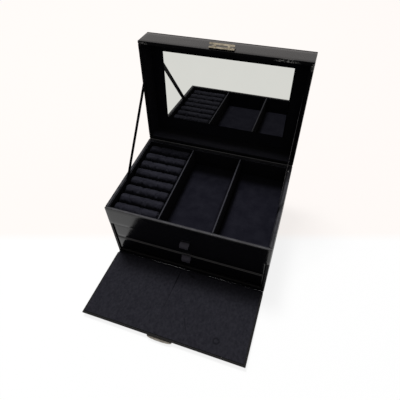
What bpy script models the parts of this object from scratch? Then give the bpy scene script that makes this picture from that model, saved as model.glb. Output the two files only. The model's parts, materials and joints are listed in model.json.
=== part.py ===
"""Jewellery box in three tiers: a tray under a mirrored lid, two drawers, and a front flap.

Metres, +Z up. The origin is at the centre of the base's underside. X runs across the front,
-Y is the side that the drawers and the flap open to. The lid stands open against its two
ribbon stays, and the front flap lies open, propped on the clasp case under its free edge.
"""
import math

import bmesh
import bpy
from mathutils import Matrix, Vector

# Overall sizes
WIDTH = 0.250
DEPTH = 0.166
HEIGHT = 0.116
LID_HEIGHT = 0.0355
LID_ANGLE = math.radians(94.0)

# Boards and their wrapping
WALL = 0.0045
COVER_BOARD = 0.0030
CARCASS_FLOOR = 0.0054
RAIL = 0.0035
WALL_SETBACK = 0.0006
LINING = 0.0008
WRAP_RADIUS = 0.0007
CARD_RADIUS = 0.0002
GAP = 0.0003
OVERRUN = 0.0010

# Tray
TRAY_DEPTH = 0.0337
TRAY_BOARD = 0.0030
LINING_DROP = 0.0010
DIVIDER = 0.0025
LEFT_COMPARTMENT = 0.0780
MIDDLE_COMPARTMENT = 0.0790
PAD = 0.0020
PAD_RADIUS = 0.0008

# Ring rolls
ROLL_COUNT = 8
ROLL_HALF_HEIGHT = 0.0097
ROLL_CREST_DROP = 0.0040
ROLL_END_ROUND = 0.0060
ROLL_SIDES = 16
# How full a roll's end face is beside its middle, and how round its section is
END_FULLNESS_SHARE = 0.55
SECTION_POWER_SHARE = 0.86

# Drawers
SHELF = 0.0025
DRAWER_INSET = 0.0022
DRAWER_FRONT = 0.0032
DRAWER_BOARD = 0.0020
DRAWER_RISE = 0.0008
DRAWER_SIDE_PLAY = 0.0006
DRAWER_BACK_PLAY = 0.0015
DRAWER_BOX_DROP = 0.0030
PULL_WIDTH = 0.0140
PULL_LENGTH = 0.0170
PULL_THICKNESS = 0.0016
# How far a pull stands above its drawer's front, which it comes over from inside
PULL_RISE = 0.0004
# Thickness of a pull where it is stitched flat, beside its fold
STITCHED_SHARE = 0.6

# Front flap
FLAP_BOARD = 0.0026
FLAP_BORDER = 0.0030
FLAP_FOOT = 0.0004
HINGE_SKIN = 0.0008

# Lid
LID_BOARD = 0.0025
LID_LINING = 0.0010
LID_HINGE_SETBACK = 0.0006
BACK_SKIN = 0.0006
BACK_SKIN_LEG = 0.0120
MIRROR_THICKNESS = 0.0018
MIRROR_BEVEL = 0.0012
MIRROR_SIDE_MARGIN = 0.0245
MIRROR_FRONT_MARGIN = 0.0230
MIRROR_BACK_MARGIN = 0.0290

# Ribbon stays
RIBBON_WIDTH = 0.0080
RIBBON_THICKNESS = 0.0006
RIBBON_TAIL = 0.0080
# How far in front of the lid's hinge each ribbon crosses the base's rim and the lid's rim
RIBBON_BASE_REACH = 0.0986
RIBBON_LID_REACH = 0.1165

# Clasp: a leaf and a sprung hasp on the lid, a catch and a case on the flap
CLASP_WIDTH = 0.0360
PLATE_EDGE = 0.0003
LEAF_HEIGHT = 0.0070
LEAF_THICKNESS = 0.0010
HINGE_ABOVE_RIM = 0.0045
KNUCKLE_RADIUS = 0.0015
PIN_RADIUS = 0.0007
HASP_ANGLE = math.radians(100.0)
HASP_THICKNESS = 0.0009
HASP_KNUCKLE_WIDTH = 0.0035
HASP_KNUCKLE_SPACING = 0.0200
HASP_SLOT = 0.0020
HASP_BAR = 0.0028
LIP_RADIUS = 0.0012
LIP_ANGLE = math.radians(50.0)
CATCH_THICKNESS = 0.0015
TONGUE_WIDTH = 0.0150
TONGUE_THICKNESS = 0.0010
TONGUE_REACH = 0.0006
CASE_WIDTH = 0.0380
CASE_HEIGHT = 0.0175
CASE_THICKNESS = 0.0050
CASE_TOP_BELOW_RIM = 0.0026
CASE_RADIUS = 0.0010
BUTTON_RADIUS = 0.0036
BUTTON_THICKNESS = 0.0020
BUTTON_RECESS = 0.0002
BUTTON_TRAVEL = 0.0010
RIVET_RADIUS = 0.0011
RIVET_HEIGHT = 0.0004
RIVET_INSET = 0.0040
ROUND_SIDES = 24

# Places that follow from the sizes above
LEFT = -WIDTH / 2
RIGHT = WIDTH / 2
FRONT = -DEPTH / 2
BACK = DEPTH / 2
INNER_LEFT = LEFT + WALL
INNER_RIGHT = RIGHT - WALL
INNER_BACK = BACK - WALL
CARCASS_BOTTOM = COVER_BOARD + GAP
CARCASS_TOP = CARCASS_BOTTOM + CARCASS_FLOOR
TRAY_TOP = HEIGHT - TRAY_DEPTH
TRAY_BOTTOM = TRAY_TOP - TRAY_BOARD
LINED_LEFT = INNER_LEFT + GAP + LINING
LINED_RIGHT = INNER_RIGHT - GAP - LINING
LINED_FRONT = FRONT + RAIL + GAP + LINING + GAP
LINED_BACK = INNER_BACK - GAP - LINING
FLAP_INNER = FRONT - GAP
FLAP_OUTER = FLAP_INNER - LINING - GAP - FLAP_BOARD
LID_FRONT = FLAP_OUTER
LID_RIM = HEIGHT + GAP
LID_TOP = HEIGHT + LID_HEIGHT
LID_PIVOT = Vector((0, BACK + LID_HINGE_SETBACK, HEIGHT))
FLAP_PIVOT = Vector((0, FLAP_OUTER + FLAP_FOOT - GAP, FLAP_FOOT))
CLASP_AXIS_Y = FLAP_OUTER - GAP - KNUCKLE_RADIUS
CLASP_AXIS_Z = HEIGHT + HINGE_ABOVE_RIM
BAR_TOP = CLASP_AXIS_Z - KNUCKLE_RADIUS - HASP_SLOT
CASE_TOP = HEIGHT - CASE_TOP_BELOW_RIM
CASE_BOTTOM = CASE_TOP - CASE_HEIGHT
CASE_OUTER = FLAP_OUTER - GAP - CASE_THICKNESS
PROP_RISE = FLAP_PIVOT.y - CASE_OUTER - FLAP_FOOT + GAP
FLAP_TILT = math.asin(PROP_RISE / (CASE_BOTTOM - FLAP_FOOT))
FLAP_ANGLE = math.radians(90) - FLAP_TILT

# Colour, roughness and metallic value of each finish
FINISHES = {
    "patent_leatherette": ((0.012, 0.012, 0.014), 0.12, 0.0),
    "velvet": ((0.020, 0.019, 0.028), 0.90, 0.0),
    "ribbon": ((0.012, 0.012, 0.018), 0.60, 0.0),
    "greyboard": ((0.050, 0.048, 0.046), 0.80, 0.0),
    "champagne_brass": ((0.72, 0.66, 0.48), 0.28, 1.0),
    "mirror_glass": ((0.90, 0.91, 0.91), 0.02, 1.0),
}
materials = {}


def clear_scene():
    """Empties the scene."""
    for item in list(bpy.data.objects):
        bpy.data.objects.remove(item, do_unlink=True)


def finish(name):
    """The material of one finish, made once."""
    if name not in materials:
        colour, roughness, metallic = FINISHES[name]
        material = bpy.data.materials.new(name)
        material.use_nodes = True
        shader = material.node_tree.nodes["Principled BSDF"]
        shader.inputs["Base Color"].default_value = (*colour, 1)
        shader.inputs["Roughness"].default_value = roughness
        shader.inputs["Metallic"].default_value = metallic
        material.diffuse_color = (*colour, 1)
        materials[name] = material
    return materials[name]


def add_object(name, mesh_builder, finish_name, centre, parent=None):
    """Puts a bmesh, built about its own centre, at a place under an optional joint."""
    mesh = bpy.data.meshes.new(name)
    bmesh.ops.recalc_face_normals(mesh_builder, faces=mesh_builder.faces)
    mesh_builder.to_mesh(mesh)
    mesh_builder.free()
    mesh.materials.append(finish(finish_name))
    piece = bpy.data.objects.new(name, mesh)
    bpy.context.scene.collection.objects.link(piece)
    piece.location = centre
    if parent is not None:
        piece.parent = parent
        piece.location = Vector(centre) - parent.location
    return piece


def add_bevel(piece, radius, segments=2):
    """Rounds the sharp edges of a board as its wrapping does."""
    bevel = piece.modifiers.new("edges", "BEVEL")
    bevel.width = radius
    bevel.segments = segments
    bevel.limit_method = "ANGLE"
    bevel.harden_normals = False
    return piece


def joint(name, place):
    """An empty on a joint's axis, which its moving pieces are parented to."""
    empty = bpy.data.objects.new(name, None)
    bpy.context.scene.collection.objects.link(empty)
    empty.location = place
    return empty


def box_mesh(size):
    """A block about its own centre."""
    builder = bmesh.new()
    bmesh.ops.create_cube(builder, size=1)
    bmesh.ops.scale(builder, vec=size, verts=builder.verts)
    return builder


def board(name, low, high, finish_name, radius, parent=None):
    """A flat board between two corners."""
    low = Vector(low)
    high = Vector(high)
    piece = add_object(name, box_mesh(high - low), finish_name, (low + high) / 2, parent)
    return add_bevel(piece, radius)


def profile_mesh(outline, width):
    """An outline in Y and Z, pulled out along X about the middle."""
    builder = bmesh.new()
    corners = [builder.verts.new((-width / 2, y, z)) for y, z in outline]
    face = builder.faces.new(corners)
    pulled = bmesh.ops.extrude_face_region(builder, geom=[face])
    moved = [item for item in pulled["geom"] if isinstance(item, bmesh.types.BMVert)]
    bmesh.ops.translate(builder, vec=(width, 0, 0), verts=moved)
    return builder


def arc(centre_y, centre_z, radius, start, end, steps):
    """Points along an arc in Y and Z; angle 0 points along +Y."""
    turns = [start + (end - start) * step / steps for step in range(steps + 1)]
    return [(centre_y + radius * math.cos(turn), centre_z + radius * math.sin(turn)) for turn in turns]


def cut(piece, cutter, operation="DIFFERENCE"):
    """Applies one solid to another with an exact Boolean; the cutter itself isn't a part."""
    cutter.hide_render = True
    cutter.display_type = "WIRE"
    boolean = piece.modifiers.new(cutter.name, "BOOLEAN")
    boolean.operation = operation
    boolean.object = cutter
    boolean.solver = "EXACT"


def rod(name, radius, length, centre, finish_name, parent=None, axis="X"):
    """A round bar along X or Y."""
    builder = bmesh.new()
    bmesh.ops.create_cone(
        builder, cap_ends=True, segments=ROUND_SIDES, radius1=radius, radius2=radius, depth=length
    )
    turn = Matrix.Rotation(math.radians(90), 3, "Y" if axis == "X" else "X")
    bmesh.ops.rotate(builder, matrix=turn, verts=builder.verts)
    piece = add_object(name, builder, finish_name, centre, parent)
    piece.data.shade_smooth()
    piece.data.set_sharp_from_angle(angle=math.radians(40))
    return piece


def side_wall(name, low_x):
    """A side board: notched at the top front, where the rail covers its end."""
    outline = [
        (FRONT + WALL_SETBACK, CARCASS_BOTTOM),
        (BACK, CARCASS_BOTTOM),
        (BACK, HEIGHT),
        (FRONT + RAIL + GAP, HEIGHT),
        (FRONT + RAIL + GAP, TRAY_BOTTOM - GAP),
        (FRONT + WALL_SETBACK, TRAY_BOTTOM - GAP),
    ]
    piece = add_object(
        name, profile_mesh(outline, WALL), "patent_leatherette", (low_x + WALL / 2, 0, 0)
    )
    return add_bevel(piece, WRAP_RADIUS)


def build_carcass():
    """The base: cover board, floor, walls, rail, shelf between the drawers and tray floor."""
    board("cover_board", (LEFT, FRONT, 0), (RIGHT, BACK, COVER_BOARD), "patent_leatherette", WRAP_RADIUS)
    inner_left = INNER_LEFT + GAP
    inner_right = INNER_RIGHT - GAP
    inner_back = INNER_BACK - GAP
    board(
        "carcass_floor",
        (inner_left, FRONT + DRAWER_INSET, CARCASS_BOTTOM),
        (inner_right, inner_back, CARCASS_TOP),
        "greyboard",
        CARD_RADIUS,
    )
    side_wall("side_wall_left", LEFT)
    side_wall("side_wall_right", INNER_RIGHT)
    board(
        "back_wall",
        (inner_left, INNER_BACK, CARCASS_BOTTOM),
        (inner_right, BACK, HEIGHT),
        "patent_leatherette",
        WRAP_RADIUS,
    )
    board(
        "front_rail",
        (LEFT, FRONT, TRAY_BOTTOM),
        (RIGHT, FRONT + RAIL, HEIGHT),
        "patent_leatherette",
        WRAP_RADIUS,
    )
    board(
        "tray_floor",
        (inner_left, FRONT + RAIL + GAP, TRAY_BOTTOM),
        (inner_right, inner_back, TRAY_TOP),
        "greyboard",
        CARD_RADIUS,
    )
    shelf_bottom = CARCASS_TOP + GAP + drawer_height() + DRAWER_RISE
    board(
        "drawer_shelf",
        (inner_left, FRONT + DRAWER_INSET, shelf_bottom),
        (inner_right, inner_back, shelf_bottom + SHELF),
        "patent_leatherette",
        CARD_RADIUS,
    )


def drawer_height():
    """Height of each of the two equal drawers in the space under the tray."""
    space = TRAY_BOTTOM - CARCASS_TOP - SHELF
    return space / 2 - GAP - DRAWER_RISE


def build_tray():
    """Linings, dividers and the two flat pads of the tray."""
    bottom = TRAY_TOP + GAP
    top = HEIGHT - LINING_DROP
    lined_front = FRONT + RAIL + GAP
    card_back = INNER_BACK - GAP
    board(
        "tray_lining_front",
        (INNER_LEFT + GAP, lined_front, bottom),
        (INNER_RIGHT - GAP, lined_front + LINING, top),
        "velvet",
        CARD_RADIUS,
    )
    board(
        "tray_lining_back",
        (INNER_LEFT + GAP, card_back - LINING, bottom),
        (INNER_RIGHT - GAP, card_back, top),
        "velvet",
        CARD_RADIUS,
    )
    side_front = LINED_FRONT
    side_back = LINED_BACK - GAP
    board(
        "tray_lining_left",
        (INNER_LEFT + GAP, side_front, bottom),
        (LINED_LEFT, side_back, top),
        "velvet",
        CARD_RADIUS,
    )
    board(
        "tray_lining_right",
        (LINED_RIGHT, side_front, bottom),
        (INNER_RIGHT - GAP, side_back, top),
        "velvet",
        CARD_RADIUS,
    )
    for name, low_x in (("divider_left", divider_left()), ("divider_right", divider_right())):
        board(name, (low_x, side_front, bottom), (low_x + DIVIDER, side_back, top), "velvet", WRAP_RADIUS)
    pads = (
        ("floor_pad_middle", divider_left() + DIVIDER + GAP, divider_right() - GAP),
        ("floor_pad_right", divider_right() + DIVIDER + GAP, LINED_RIGHT - GAP),
    )
    for name, low_x, high_x in pads:
        board(name, (low_x, side_front, bottom), (high_x, side_back, bottom + PAD), "velvet", PAD_RADIUS)


def divider_left():
    """Left face of the divider beside the ring rolls."""
    return LINED_LEFT + LEFT_COMPARTMENT


def divider_right():
    """Left face of the divider between the two open compartments."""
    return divider_left() + DIVIDER + MIDDLE_COMPARTMENT


def build_ring_rolls():
    """The foam bed and the padded rolls that grip rings between them."""
    low_x = LINED_LEFT + GAP + RIBBON_THICKNESS + GAP
    high_x = divider_left() - GAP
    front = LINED_FRONT
    back = LINED_BACK - GAP
    centre_z = HEIGHT - ROLL_CREST_DROP - ROLL_HALF_HEIGHT
    board(
        "ring_bed",
        (low_x, front, TRAY_TOP + GAP),
        (high_x, back, centre_z - ROLL_HALF_HEIGHT - GAP),
        "velvet",
        PAD_RADIUS,
    )
    pitch = (back - front) / ROLL_COUNT
    for number in range(ROLL_COUNT):
        centre = ((low_x + high_x) / 2, back - pitch * number - pitch / 2, centre_z)
        builder = roll_mesh(high_x - low_x, (pitch - GAP) / 2, ROLL_HALF_HEIGHT)
        piece = add_object(f"ring_roll_{number + 1}", builder, "velvet", centre)
        piece.data.shade_smooth()


def roll_mesh(length, half_depth, half_height):
    """A padded roll along X: full in the middle, squeezed by its neighbours, drawn in at its ends."""
    end_angles = [math.radians(angle) for angle in (12, 35, 60, 90)]
    stations = []
    for angle in end_angles:
        stations.append((-length / 2 + ROLL_END_ROUND * (1 - math.cos(angle)), math.sin(angle)))
    stations += [(-x, share) for x, share in reversed(stations)]
    builder = bmesh.new()
    rings = []
    for x, share in stations:
        fullness = END_FULLNESS_SHARE + (1 - END_FULLNESS_SHARE) * share
        ring = []
        for side in range(ROLL_SIDES):
            turn = 2 * math.pi * side / ROLL_SIDES
            y = half_depth * fullness * squared(math.cos(turn))
            z = half_height * fullness * squared(math.sin(turn))
            ring.append(builder.verts.new((x, y, z)))
        rings.append(ring)
    for first, second in zip(rings, rings[1:]):
        for side in range(ROLL_SIDES):
            after = (side + 1) % ROLL_SIDES
            builder.faces.new((first[side], second[side], second[after], first[after]))
    builder.faces.new(rings[0])
    builder.faces.new(reversed(rings[-1]))
    return builder


def squared(value):
    """Swells a circle's coordinate a little towards a square section."""
    return math.copysign(abs(value) ** SECTION_POWER_SHARE, value)


def tray_box_mesh(size, wall, floor):
    """An open-topped box about its own centre, from a block whose top is inset and pushed down."""
    builder = box_mesh(size)
    top = max(builder.faces, key=lambda face: face.calc_center_median().z)
    bmesh.ops.inset_region(builder, faces=[top], thickness=wall)
    pushed = bmesh.ops.extrude_face_region(builder, geom=[top])
    moved = [item for item in pushed["geom"] if isinstance(item, bmesh.types.BMVert)]
    bmesh.ops.translate(builder, vec=(0, 0, floor - size.z), verts=moved)
    bmesh.ops.delete(builder, geom=[top], context="FACES_ONLY")
    return builder


def pull_outline():
    """A folded ribbon seen from the side: flat at the drawer's face, fuller at the fold below."""
    radius = PULL_THICKNESS / 2
    fold = arc(0, -PULL_LENGTH + radius, radius, math.radians(180), math.radians(360), 6)
    stitched = PULL_THICKNESS * STITCHED_SHARE
    return [(radius, 0), (radius - stitched, 0)] + fold


def build_drawer(name, bottom):
    """A drawer: its front, open box, floor pad and ribbon pull."""
    low_x = INNER_LEFT + DRAWER_SIDE_PLAY
    high_x = INNER_RIGHT - DRAWER_SIDE_PLAY
    face = FRONT + DRAWER_INSET
    top = bottom + drawer_height()
    slide = joint(f"{name}_slide", (0, face, bottom))
    board(
        f"{name}_front",
        (low_x, face, bottom),
        (high_x, face + DRAWER_FRONT, top),
        "patent_leatherette",
        WRAP_RADIUS,
        slide,
    )
    low = Vector((low_x, face + DRAWER_FRONT + GAP, bottom))
    high = Vector((high_x, INNER_BACK - DRAWER_BACK_PLAY, top - DRAWER_BOX_DROP))
    builder = tray_box_mesh(high - low, DRAWER_BOARD, DRAWER_BOARD)
    shell = add_object(f"{name}_box", builder, "velvet", (low + high) / 2, slide)
    add_bevel(shell, CARD_RADIUS, 1)
    inset = DRAWER_BOARD + GAP
    board(
        f"{name}_pad",
        (low.x + inset, low.y + inset, bottom + inset),
        (high.x - inset, high.y - inset, bottom + inset + PAD),
        "velvet",
        PAD_RADIUS,
        slide,
    )
    centre = (0, face - GAP - PULL_THICKNESS / 2, top + PULL_RISE)
    pull = add_object(f"{name}_pull", profile_mesh(pull_outline(), PULL_WIDTH), "ribbon", centre, slide)
    pull.data.shade_smooth()
    pull.data.set_sharp_from_angle(angle=math.radians(50))


def build_drawers():
    """The lower and the upper drawer, one above the other."""
    lower = CARCASS_TOP + GAP
    build_drawer("lower_drawer", lower)
    build_drawer("upper_drawer", lower + drawer_height() + DRAWER_RISE + SHELF + GAP)


def build_flap():
    """The front flap as it stands closed, with its lining and the lower half of the clasp."""
    hinge = joint("flap_hinge", FLAP_PIVOT)
    top = HEIGHT - GAP
    board(
        "flap_board",
        (LEFT, FLAP_OUTER, FLAP_FOOT),
        (RIGHT, FLAP_OUTER + FLAP_BOARD, top),
        "patent_leatherette",
        WRAP_RADIUS,
        hinge,
    )
    board(
        "flap_lining",
        (LEFT + FLAP_BORDER, FLAP_INNER - LINING, FLAP_FOOT + FLAP_BORDER),
        (RIGHT - FLAP_BORDER, FLAP_INNER, top - FLAP_BORDER),
        "velvet",
        CARD_RADIUS,
        hinge,
    )
    build_clasp_case(hinge)
    hinge.rotation_euler.x = FLAP_ANGLE


def build_clasp_case(hinge):
    """The clasp's lower half: a case with a push button, and the catch that the hasp snaps over."""
    outer = CASE_OUTER
    inner = FLAP_OUTER - GAP
    case = board(
        "clasp_case",
        (-CASE_WIDTH / 2, outer, CASE_BOTTOM),
        (CASE_WIDTH / 2, inner, CASE_TOP),
        "champagne_brass",
        CASE_RADIUS,
        hinge,
    )
    middle_z = (CASE_TOP + CASE_BOTTOM) / 2
    well = BUTTON_RECESS + BUTTON_THICKNESS + BUTTON_TRAVEL + GAP
    cutter = rod(
        "button_well",
        BUTTON_RADIUS + GAP,
        well + OVERRUN,
        (0, outer + (well - OVERRUN) / 2, middle_z),
        "champagne_brass",
        hinge,
        "Y",
    )
    cut(case, cutter)
    button_y = outer + BUTTON_RECESS + BUTTON_THICKNESS / 2
    button_centre = (0, button_y, middle_z)
    button = rod(
        "clasp_button", BUTTON_RADIUS, BUTTON_THICKNESS, button_centre, "champagne_brass", hinge, "Y"
    )
    add_bevel(button, PLATE_EDGE, 1)
    tip = TONGUE_THICKNESS / 2
    tongue_z = BAR_TOP + GAP + tip
    catch_face = inner - CATCH_THICKNESS
    catch = board(
        "clasp_catch",
        (-CASE_WIDTH / 2, catch_face, CASE_TOP + GAP),
        (CASE_WIDTH / 2, inner, tongue_z + tip + PLATE_EDGE),
        "champagne_brass",
        PLATE_EDGE,
        hinge,
    )
    tongue_y = CLASP_AXIS_Y - KNUCKLE_RADIUS - TONGUE_REACH + tip
    root = catch_face + CATCH_THICKNESS / 2
    outline = arc(tongue_y, tongue_z, tip, math.radians(90), math.radians(270), 6)
    outline += [(root, tongue_z - tip), (root, tongue_z + tip)]
    tongue = add_object(
        "catch_tongue", profile_mesh(outline, TONGUE_WIDTH), "champagne_brass", (0, 0, 0), hinge
    )
    cut(catch, tongue, "UNION")


def build_lid():
    """The lid as it lies closed: board, walls, linings, mirror and the upper half of the clasp."""
    hinge = joint("lid_hinge", LID_PIVOT)
    under = LID_TOP - LID_BOARD
    wall_top = under - GAP
    low = (LEFT, LID_FRONT, under)
    high = (RIGHT, BACK, LID_TOP)
    board("lid_board", low, high, "patent_leatherette", WRAP_RADIUS, hinge)
    walls = (
        ("lid_front_wall", (LEFT, LID_FRONT), (RIGHT, LID_FRONT + WALL)),
        ("lid_back_wall", (LEFT, BACK - WALL), (RIGHT, BACK)),
        ("lid_side_wall_left", (LEFT, LID_FRONT + WALL + GAP), (INNER_LEFT, BACK - WALL - GAP)),
        ("lid_side_wall_right", (INNER_RIGHT, LID_FRONT + WALL + GAP), (RIGHT, BACK - WALL - GAP)),
    )
    for name, low, high in walls:
        board(name, (*low, LID_RIM), (*high, wall_top), "patent_leatherette", WRAP_RADIUS, hinge)
    build_lid_lining(hinge, wall_top)
    build_clasp_hasp(hinge)
    hinge.rotation_euler.x = -LID_ANGLE


def build_lid_lining(hinge, ceiling):
    """The lid's four wall linings, the board under its top, and the mirror glued to that."""
    front = LID_FRONT + WALL + GAP
    back = BACK - WALL - GAP
    left = INNER_LEFT + GAP
    right = INNER_RIGHT - GAP
    low_z = LID_RIM + LINING_DROP
    card_bottom = ceiling - LID_LINING
    low = (left, front, card_bottom)
    high = (right, back, ceiling)
    board("lid_lining_board", low, high, "velvet", CARD_RADIUS, hinge)
    high_z = card_bottom - GAP
    linings = (
        ("lid_lining_front", (left, front), (right, front + LINING)),
        ("lid_lining_back", (left, back - LINING), (right, back)),
        ("lid_lining_left", (left, front + LINING + GAP), (LINED_LEFT, back - LINING - GAP)),
        ("lid_lining_right", (LINED_RIGHT, front + LINING + GAP), (right, back - LINING - GAP)),
    )
    for name, low, high in linings:
        board(name, (*low, low_z), (*high, high_z), "velvet", CARD_RADIUS, hinge)
    mirror_front = LID_FRONT + MIRROR_FRONT_MARGIN
    mirror_back = BACK - MIRROR_BACK_MARGIN
    size = Vector((WIDTH - MIRROR_SIDE_MARGIN * 2, mirror_back - mirror_front, MIRROR_THICKNESS))
    centre = (0, (mirror_front + mirror_back) / 2, high_z - MIRROR_THICKNESS / 2)
    builder = box_mesh(size)
    face = [edge for edge in builder.edges if all(vert.co.z < 0 for vert in edge.verts)]
    bmesh.ops.bevel(builder, geom=face, offset=MIRROR_BEVEL, segments=1, affect="EDGES")
    add_object("mirror", builder, "mirror_glass", centre, hinge)


def build_clasp_hasp(hinge):
    """The clasp's upper half: a leaf on the lid's front wall, and the hasp that turns on its pin."""
    axis = Vector((0, CLASP_AXIS_Y, CLASP_AXIS_Z))
    wall_side = KNUCKLE_RADIUS
    leaf_bottom = axis.z + KNUCKLE_RADIUS + GAP
    leaf = board(
        "clasp_leaf",
        (-CLASP_WIDTH / 2, axis.y + wall_side - LEAF_THICKNESS, leaf_bottom),
        (CLASP_WIDTH / 2, axis.y + wall_side, leaf_bottom + LEAF_HEIGHT),
        "champagne_brass",
        PLATE_EDGE,
        hinge,
    )
    arm = [
        (wall_side, leaf_bottom - axis.z + OVERRUN),
        (wall_side - LEAF_THICKNESS, leaf_bottom - axis.z + OVERRUN),
    ]
    bore = PIN_RADIUS + GAP
    beside = (HASP_KNUCKLE_SPACING - HASP_KNUCKLE_WIDTH) / 2 - GAP
    beyond = (HASP_KNUCKLE_SPACING + HASP_KNUCKLE_WIDTH) / 2 + GAP
    knuckles = ((-CLASP_WIDTH / 2, -beyond), (-beside, beside), (beyond, CLASP_WIDTH / 2))
    for number, (low_x, high_x) in enumerate(knuckles):
        place = axis + Vector(((low_x + high_x) / 2, 0, 0))
        knuckle = leaf_knuckle(f"leaf_knuckle_{number}", arm, high_x - low_x, place, hinge)
        cut(leaf, knuckle, "UNION")
    for side in (-1, 1):
        rivet_x = side * (CLASP_WIDTH / 2 - RIVET_INSET)
        rivet_y = axis.y + wall_side - LEAF_THICKNESS
        head = rod(
            f"rivet_head_{side + 1}",
            RIVET_RADIUS,
            RIVET_HEIGHT * 2,
            (rivet_x, rivet_y, leaf_bottom + LEAF_HEIGHT / 2),
            "champagne_brass",
            hinge,
            "Y",
        )
        cut(leaf, head, "UNION")
    bore_cut = rod("leaf_bore", bore, CLASP_WIDTH + OVERRUN, axis, "champagne_brass", hinge)
    cut(leaf, bore_cut)
    rod("clasp_pin", PIN_RADIUS, CLASP_WIDTH, axis, "champagne_brass", hinge)
    build_hasp(hinge, axis, bore_cut)


def leaf_knuckle(name, arm, width, place, hinge):
    """One knuckle of the leaf with its arm up the wall."""
    turns = arc(0, 0, KNUCKLE_RADIUS, math.radians(150), math.radians(360), ROUND_SIDES // 2)
    return add_object(name, profile_mesh(arm + turns, width), "champagne_brass", place, hinge)


def build_hasp(hinge, axis, bore_cut):
    """The hasp: a bar with a finger lip, on two arms whose gap drops over the catch's tongue."""
    outside = -KNUCKLE_RADIUS
    inside = outside + HASP_THICKNESS
    bar_top = BAR_TOP - axis.z
    lip_y = outside - LIP_RADIUS
    lip_z = bar_top - HASP_BAR + (LIP_RADIUS + HASP_THICKNESS) * math.sin(LIP_ANGLE)
    outer_lip = arc(lip_y, lip_z, LIP_RADIUS, 0, -LIP_ANGLE, 4)
    inner_lip = arc(lip_y, lip_z, LIP_RADIUS + HASP_THICKNESS, -LIP_ANGLE, 0, 4)
    outline = [(outside, bar_top)] + outer_lip + inner_lip + [(inside, bar_top)]
    pivot = joint("hasp_pivot", axis - hinge.location)
    pivot.parent = hinge
    pivot.rotation_euler.x = -HASP_ANGLE
    hasp = add_object("clasp_hasp", profile_mesh(outline, CLASP_WIDTH), "champagne_brass", pivot.location)
    hasp.location = (0, 0, 0)
    hasp.parent = pivot
    add_bevel(hasp, PLATE_EDGE, 1)
    arm = [
        (inside, bar_top - OVERRUN),
        (outside, bar_top - OVERRUN),
        (outside, 0),
    ]
    arm_root = math.acos(inside / KNUCKLE_RADIUS)
    turns = arc(0, 0, KNUCKLE_RADIUS, math.radians(160), -arm_root, ROUND_SIDES // 2)
    for side in (-1, 1):
        place = Vector((side * HASP_KNUCKLE_SPACING / 2, 0, 0))
        builder = profile_mesh(arm + turns, HASP_KNUCKLE_WIDTH)
        knuckle = add_object(f"hasp_knuckle_{side + 1}", builder, "champagne_brass", place)
        knuckle.parent = pivot
        cut(hasp, knuckle, "UNION")
    cut(hasp, bore_cut)


def turned(point, pivot, angle):
    """Turns a point in Y and Z about a pivot, as a piece turns about the X axis."""
    y = point[0] - pivot.y
    z = point[1] - pivot.z
    turned_y = pivot.y + y * math.cos(angle) - z * math.sin(angle)
    turned_z = pivot.z + y * math.sin(angle) + z * math.cos(angle)
    return turned_y, turned_z


def build_hinge_skins():
    """The wrapping that bridges the lid's hinge at the back, and the flap's hinge in front."""
    near = BACK + GAP
    far = near + BACK_SKIN
    lid_face = BACK + GAP
    upper = turned((lid_face, HEIGHT + BACK_SKIN_LEG), LID_PIVOT, -LID_ANGLE)
    lower = turned((lid_face + BACK_SKIN, HEIGHT + BACK_SKIN_LEG), LID_PIVOT, -LID_ANGLE)
    upper_start = turned((lid_face, HEIGHT + GAP), LID_PIVOT, -LID_ANGLE)
    lower_start = turned((lid_face + BACK_SKIN, HEIGHT + BACK_SKIN + GAP), LID_PIVOT, -LID_ANGLE)
    outline = [
        (near, HEIGHT - BACK_SKIN_LEG),
        (far, HEIGHT - BACK_SKIN_LEG),
        (far, lower_start[1]),
        lower,
        upper,
        upper_start,
        (near, upper_start[1]),
    ]
    add_object("lid_hinge_skin", profile_mesh(outline, WIDTH), "patent_leatherette", (0, 0, 0))
    flap_edge = FLAP_PIVOT.y
    board(
        "flap_hinge_skin",
        (LEFT, flap_edge + GAP, GAP),
        (RIGHT, FRONT - GAP, GAP + HINGE_SKIN),
        "patent_leatherette",
        CARD_RADIUS,
    )


def build_ribbon_stays():
    """The two flat ribbons that hold the lid open, each straight from tray wall to lid wall."""
    start = Vector((LID_PIVOT.y - RIBBON_BASE_REACH, HEIGHT))
    end = Vector(turned((LID_PIVOT.y - RIBBON_LID_REACH, LID_RIM), LID_PIVOT, -LID_ANGLE))
    along = (end - start).normalized()
    across = Vector((-along.y, along.x)) * RIBBON_WIDTH / 2
    start -= along * RIBBON_TAIL
    end += along * RIBBON_TAIL
    outline = [start - across, end - across, end + across, start + across]
    outline = [(point.x, point.y) for point in outline]
    offset = LINED_RIGHT - GAP - RIBBON_THICKNESS / 2
    for name, x in (("ribbon_stay_left", -offset), ("ribbon_stay_right", offset)):
        add_object(name, profile_mesh(outline, RIBBON_THICKNESS), "ribbon", (x, 0, 0))


def main():
    """Builds the whole box."""
    clear_scene()
    build_carcass()
    build_tray()
    build_ring_rolls()
    build_drawers()
    build_flap()
    build_lid()
    build_hinge_skins()
    build_ribbon_stays()
    print("flap opens by", math.degrees(FLAP_ANGLE), "degrees about", tuple(FLAP_PIVOT))
    print("lid opens by", math.degrees(LID_ANGLE), "degrees about", tuple(LID_PIVOT))


main()
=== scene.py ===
"""Looks of a black patent jewellery box with a mirrored lid, ring rolls, two drawers and a front flap."""
import json
import math

import bmesh
import bpy
from mathutils import Matrix, Vector, noise


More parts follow.
